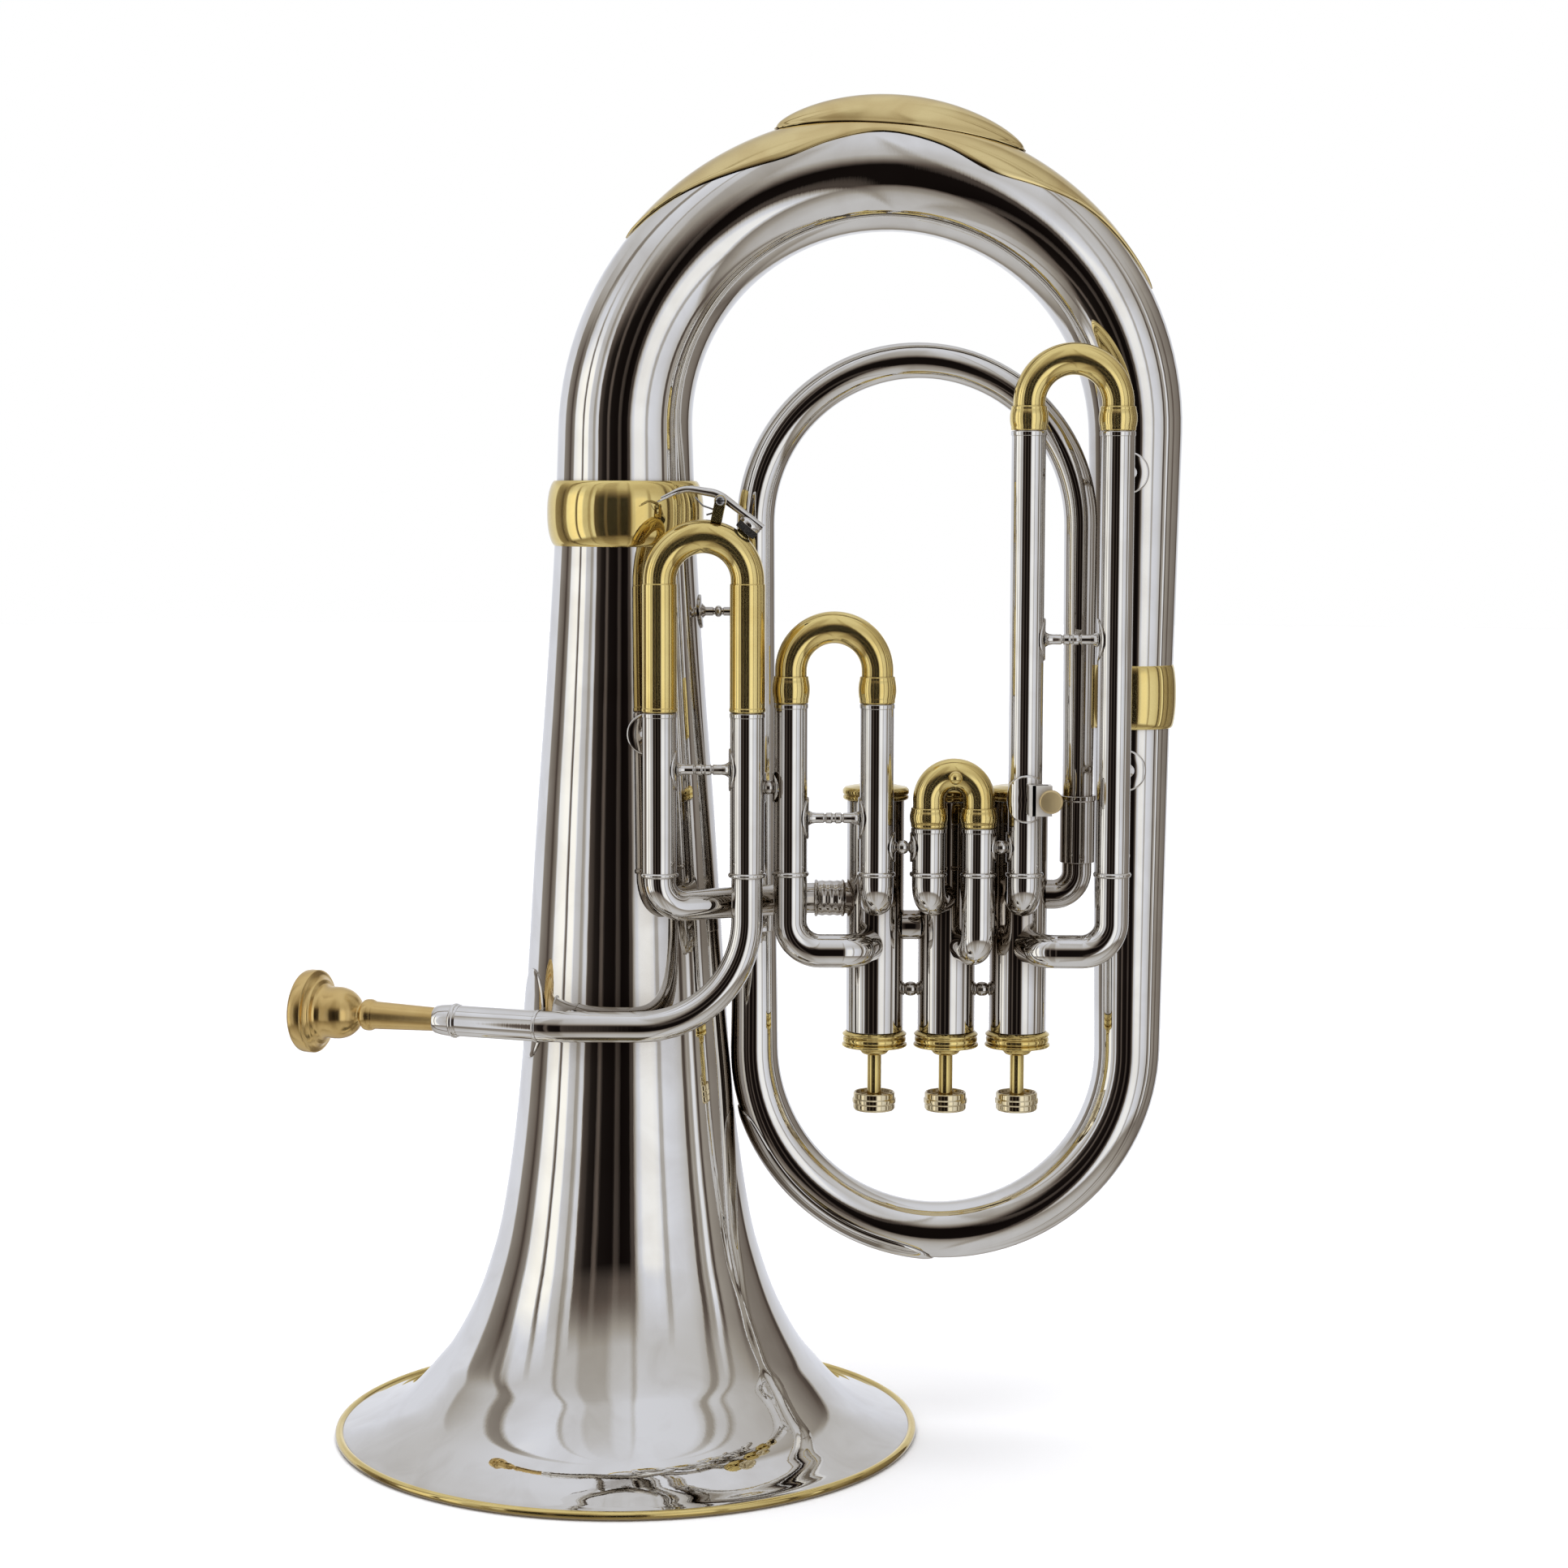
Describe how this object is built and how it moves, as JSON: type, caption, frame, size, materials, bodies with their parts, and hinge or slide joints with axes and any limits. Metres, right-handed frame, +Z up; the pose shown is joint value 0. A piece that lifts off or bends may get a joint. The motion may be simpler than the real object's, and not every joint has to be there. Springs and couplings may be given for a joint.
{
  "type": "euphonium",
  "caption": "Valved low-brass horn with a wide flared bell, large bows, pull-out slides, piston valves and a mouthpiece, resting on its bell rim.",
  "frame": {"origin": "bottom centre of the object's bounding box, level with the bell rim that it stands on", "axes": "+Z up from the bell rim along the bell axis, +X from the bell towards the right branch, -Y towards the slides and the leadpipe"},
  "size_m": [0.4198, 0.28, 0.6361],
  "materials": {
    "nickel": "polished nickel plate",
    "brass": "polished and lacquered",
    "satin_brass": "satin",
    "steel": "fine ground",
    "cork": "matt black"
  },
  "bodies": {
    "horn": {"bell": "nickel", "bell_rim_wire": "brass", "bell_ferrule": "brass", "top_bow": "nickel", "top_bow_guard": "brass", "rest_cap": "brass", "bottom_bow": "nickel", "branch_ferrule": "brass", "bottom_bow_guard": "nickel", "inner_loop": "nickel", "loop_sleeve": "nickel", "bottom_cap_1": "brass", "finger_cap_1": "brass", "casing_1": "nickel", "bottom_cap_2": "brass", "finger_cap_2": "brass", "casing_2": "nickel", "bottom_cap_3": "brass", "finger_cap_3": "brass", "casing_3": "nickel", "crossover_12": "nickel", "casing_brace_12": "nickel", "crossover_23": "nickel", "casing_brace_23": "nickel", "outlet_elbow": "nickel", "slide_1_tubes": "nickel", "slide_2_left_tube": "nickel", "slide_2_right_tube": "nickel", "slide_3_tubes": "nickel", "main_slide_tubes": "nickel", "main_slide_elbow": "nickel", "leadpipe": "nickel", "mouthpiece_receiver": "nickel", "leadpipe_brace": "nickel", "bell_loop_brace": "nickel", "bell_slide_brace": "nickel", "upper_branch_brace": "nickel", "lower_branch_brace": "nickel", "lyre_socket": "nickel"},
    "mouthpiece": {"mouthpiece": "satin_brass"},
    "main_slide": {"main_slide_bow": "brass", "water_key_saddle": "brass", "water_key_screw": "steel"},
    "water_key": {"water_key_lever": "nickel", "water_key_cork": "cork"},
    "slide_1": {"slide_1_bow": "brass"},
    "slide_2": {"slide_2_bow": "brass"},
    "slide_3": {"slide_3_bow": "brass"},
    "lyre_screw": {"lyre_screw": "satin_brass"},
    "valve_1": {"piston_1": "steel", "finger_button_1": "brass", "valve_spring_1": "steel"},
    "valve_2": {"piston_2": "steel", "finger_button_2": "brass", "valve_spring_2": "steel"},
    "valve_3": {"piston_3": "steel", "finger_button_3": "brass", "valve_spring_3": "steel"}
  },
  "joints": [
    {"name": "valve_1_press", "type": "slide", "parent": "horn", "child": "valve_1", "axis": [0, 0, 1], "range_m": [0, 0.014], "stiffness_N_per_m": 60, "springref_m": -0.012, "deforming": ["valve_spring_1"]},
    {"name": "valve_2_press", "type": "slide", "parent": "horn", "child": "valve_2", "axis": [0, 0, 1], "range_m": [0, 0.014], "stiffness_N_per_m": 60, "springref_m": -0.012, "deforming": ["valve_spring_2"]},
    {"name": "valve_3_press", "type": "slide", "parent": "horn", "child": "valve_3", "axis": [0, 0, 1], "range_m": [0, 0.014], "stiffness_N_per_m": 60, "springref_m": -0.012, "deforming": ["valve_spring_3"]},
    {"name": "main_slide_pull", "type": "slide", "parent": "horn", "child": "main_slide", "axis": [0, 0, 1], "range_m": [0, 0.055]},
    {"name": "slide_1_pull", "type": "slide", "parent": "horn", "child": "slide_1", "axis": [0, 0, 1], "range_m": [0, 0.055]},
    {"name": "slide_2_pull", "type": "slide", "parent": "horn", "child": "slide_2", "axis": [0, 0, 1], "range_m": [0, 0.01]},
    {"name": "slide_3_pull", "type": "slide", "parent": "horn", "child": "slide_3", "axis": [0, 0, 1], "range_m": [0, 0.1]},
    {"name": "water_key_press", "type": "hinge", "parent": "main_slide", "child": "water_key", "pos_m": [-0.00602, -0.056, 0.4475], "axis": [0, -1, 0], "range_deg": [0, 14], "stiffness_Nm_per_rad": 0.05, "springref_deg": -34.38},
    {"name": "mouthpiece_pull", "type": "slide", "parent": "horn", "child": "mouthpiece", "axis": [-0.9397, 0.342, 0], "range_m": [0, 0.03]},
    {"name": "lyre_screw_turn", "type": "hinge", "parent": "horn", "child": "lyre_screw", "pos_m": [0.14438, -0.07, 0.312], "axis": [0, -1, 0], "continuous": true}
  ]
}
